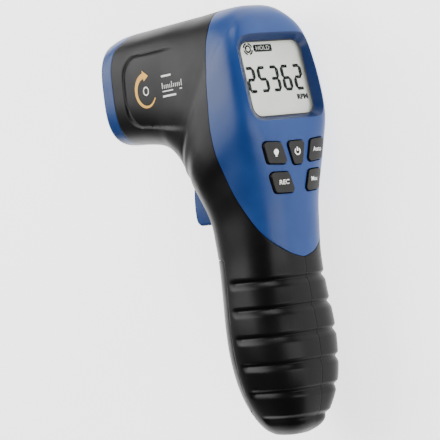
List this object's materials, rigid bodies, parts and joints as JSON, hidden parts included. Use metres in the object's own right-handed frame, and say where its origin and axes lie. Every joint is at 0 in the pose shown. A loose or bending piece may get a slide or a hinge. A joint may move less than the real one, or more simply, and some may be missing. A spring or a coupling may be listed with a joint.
{
  "type": "laser tachometer",
  "caption": "Pistol-grip laser tachometer with a rear display and keypad, finger trigger, ribbed grip and hinged battery cover, for non-contact shaft speed measurement.",
  "frame": {"origin": "centre of the bounding box in plan, at the lowest point, with the tool lying on its right side", "axes": "+X to the tool's rear, where the display is; +Y up the grip to the head; +Z to the tool's left, which faces up as it lies"},
  "size_m": [0.0868, 0.1599, 0.045],
  "materials": {
    "black_abs": "fine moulded satin",
    "blue_abs": "smooth satin gloss",
    "front_plate_abs": "matte",
    "lens_acrylic": "polished",
    "red_filter": "polished",
    "brass_barrel": "turned",
    "black_tube": "matte",
    "sensor_can": "drawn",
    "board_laminate": "solder mask",
    "clear_window": "polished",
    "lcd_cell": "satin polariser",
    "white_diffuser": "matte",
    "contact_strip": "matte",
    "keypad_rubber": "matte",
    "key_grey": "satin, printed legends",
    "plain_steel": "ground",
    "switch_plastic": "moulded",
    "battery_sleeve": "printed sleeve",
    "snap_plastic": "moulded",
    "lead_pvc": "smooth",
    "screw_zinc": "zinc plated"
  },
  "bodies": {
    "housing": {"left_housing": "black_abs", "right_housing": "black_abs", "rear_bezel": "blue_abs", "nose_ring": "blue_abs", "front_plate": "front_plate_abs", "collecting_lens": "lens_acrylic", "laser_window": "red_filter", "laser_module": "brass_barrel", "sensor_tube": "black_tube", "photodiode": "sensor_can", "sensor_board": "board_laminate", "main_board": "board_laminate", "lcd_window": "clear_window", "lcd_glass": "lcd_cell", "lcd_backlight": "white_diffuser", "lcd_connectors": "contact_strip", "keypad_mat": "keypad_rubber", "trigger_pin": "plain_steel", "trigger_spring": "plain_steel", "trigger_switch": "switch_plastic", "cover_pin": "plain_steel", "battery": "battery_sleeve", "battery_snap": "snap_plastic", "battery_leads": "lead_pvc", "housing_screws": "screw_zinc", "board_screws": "screw_zinc"},
    "trigger": {"trigger": "blue_abs"},
    "battery_cover": {"battery_cover": "black_abs"},
    "key_light": {"key_light": "key_grey"},
    "key_power": {"key_power": "key_grey"},
    "key_auto": {"key_auto": "key_grey"},
    "key_rec": {"key_rec": "key_grey"},
    "key_max": {"key_max": "key_grey"}
  },
  "joints": [
    {"name": "trigger_pull", "type": "hinge", "parent": "housing", "child": "trigger", "pos_m": [-0.00081, 0.0215, 0.0225], "axis": [0, 0, 1], "range_deg": [0, 9], "stiffness_Nm_per_rad": 0.4, "springref_deg": -2.86, "deforming": ["trigger_spring"]},
    {"name": "cover_swing", "type": "hinge", "parent": "housing", "child": "battery_cover", "pos_m": [0.00879, -0.0697, 0.0225], "axis": [0, 0, 1], "range_deg": [0, 75]},
    {"name": "key_light_press", "type": "slide", "parent": "housing", "child": "key_light", "axis": [-1, 0, 0], "range_m": [0, 0.0008], "stiffness_N_per_m": 400},
    {"name": "key_power_press", "type": "slide", "parent": "housing", "child": "key_power", "axis": [-1, 0, 0], "range_m": [0, 0.0008], "stiffness_N_per_m": 400},
    {"name": "key_auto_press", "type": "slide", "parent": "housing", "child": "key_auto", "axis": [-1, 0, 0], "range_m": [0, 0.0008], "stiffness_N_per_m": 400},
    {"name": "key_rec_press", "type": "slide", "parent": "housing", "child": "key_rec", "axis": [-1, 0, 0], "range_m": [0, 0.0008], "stiffness_N_per_m": 400},
    {"name": "key_max_press", "type": "slide", "parent": "housing", "child": "key_max", "axis": [-1, 0, 0], "range_m": [0, 0.0008], "stiffness_N_per_m": 400}
  ]
}
